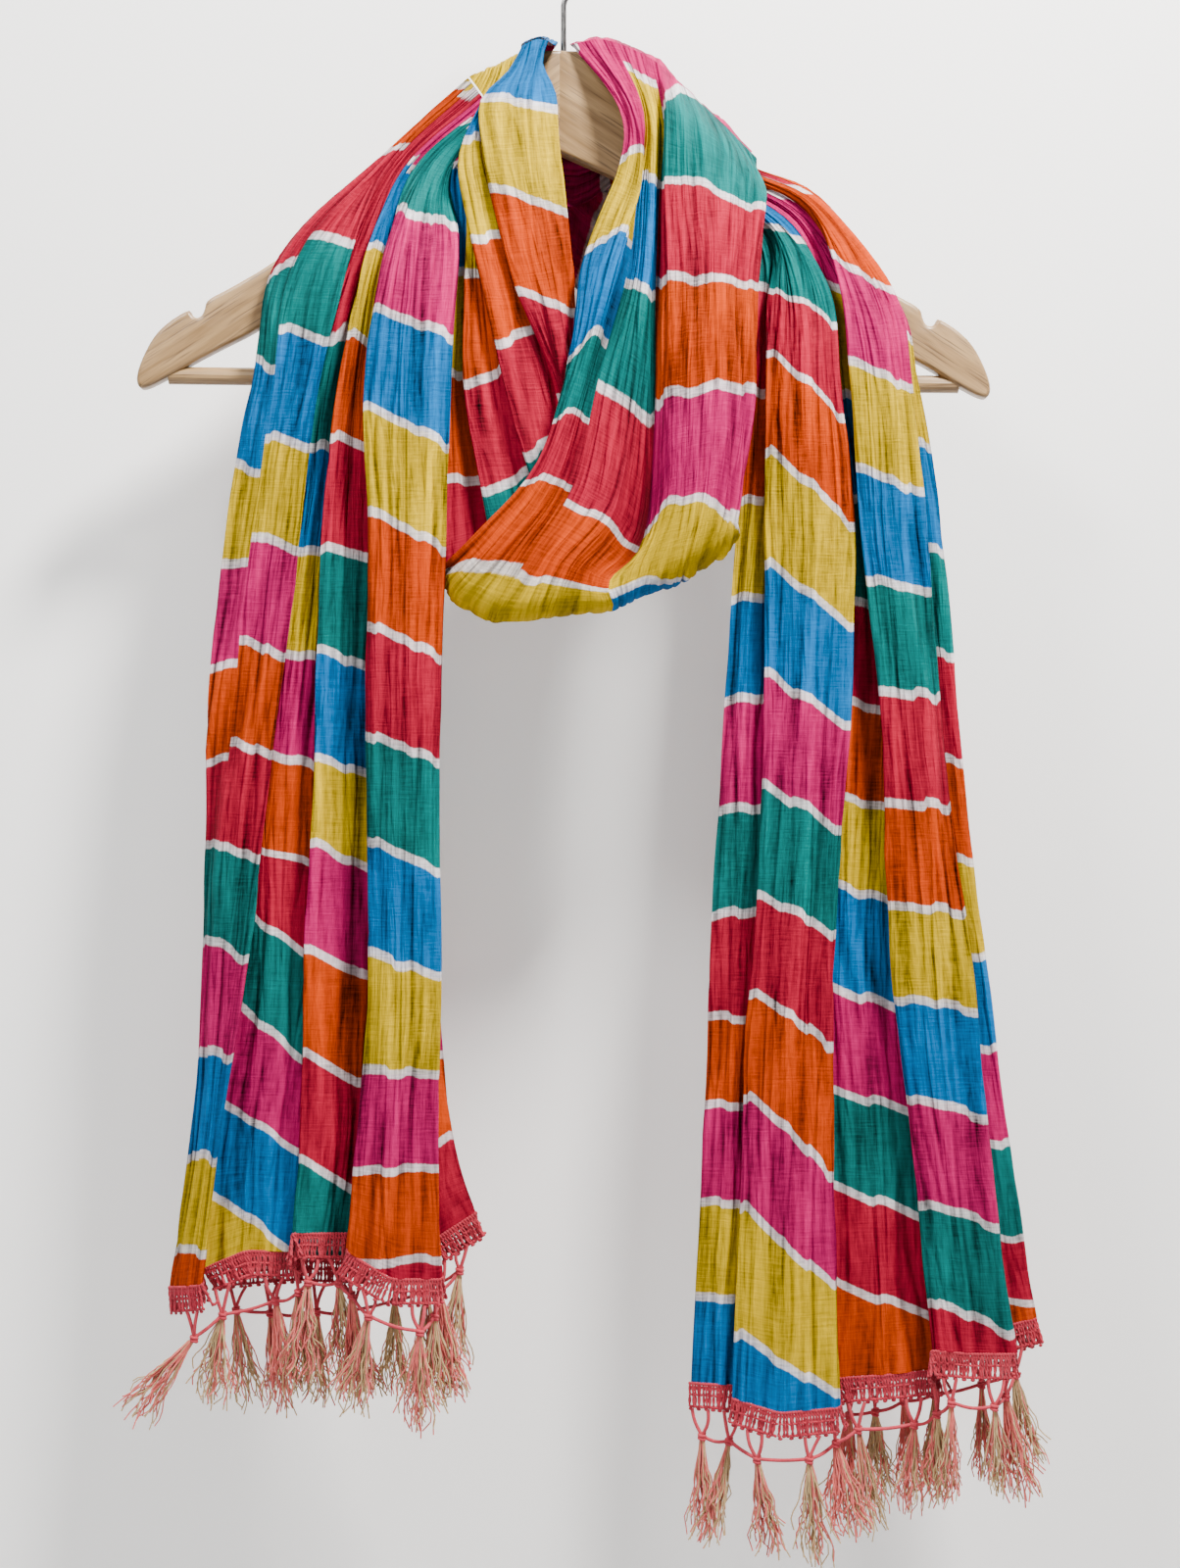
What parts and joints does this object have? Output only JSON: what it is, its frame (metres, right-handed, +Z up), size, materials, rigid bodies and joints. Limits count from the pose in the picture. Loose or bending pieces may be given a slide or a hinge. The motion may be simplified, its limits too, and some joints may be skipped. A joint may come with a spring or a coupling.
{
  "type": "dupatta on a wooden coat hanger",
  "caption": "Striped crinkle dupatta with lace and tassel ends, looped like a scarf over a wooden coat hanger.",
  "frame": {"origin": "inside top of the hook, where a rail carries the hanger", "axes": "+X to the right as seen from the front, -Y towards the front, +Z up"},
  "size_m": [0.4657, 0.1135, 0.8535],
  "materials": {
    "wood": "clear satin varnish on pale wood",
    "hook": "plated steel wire",
    "striped_cloth": "crinkled cotton in bands of green, pink, blue, yellow, orange and red between white lines",
    "lace": "crocheted cotton lace in coral red",
    "tassels": "twisted yarn in coral pink and beige by turns"
  },
  "bodies": {
    "root": {"arm_left": "wood", "arm_right": "wood", "bar": "wood", "hook": "hook", "left_tail": "striped_cloth", "left_lace": "lace", "left_fringe": "tassels", "right_tail": "striped_cloth", "right_lace": "lace", "right_fringe": "tassels", "loop_left": "striped_cloth", "loop_right": "striped_cloth", "strand_from_loop": "striped_cloth", "strand_from_tail": "striped_cloth"}
  },
  "joints": []
}
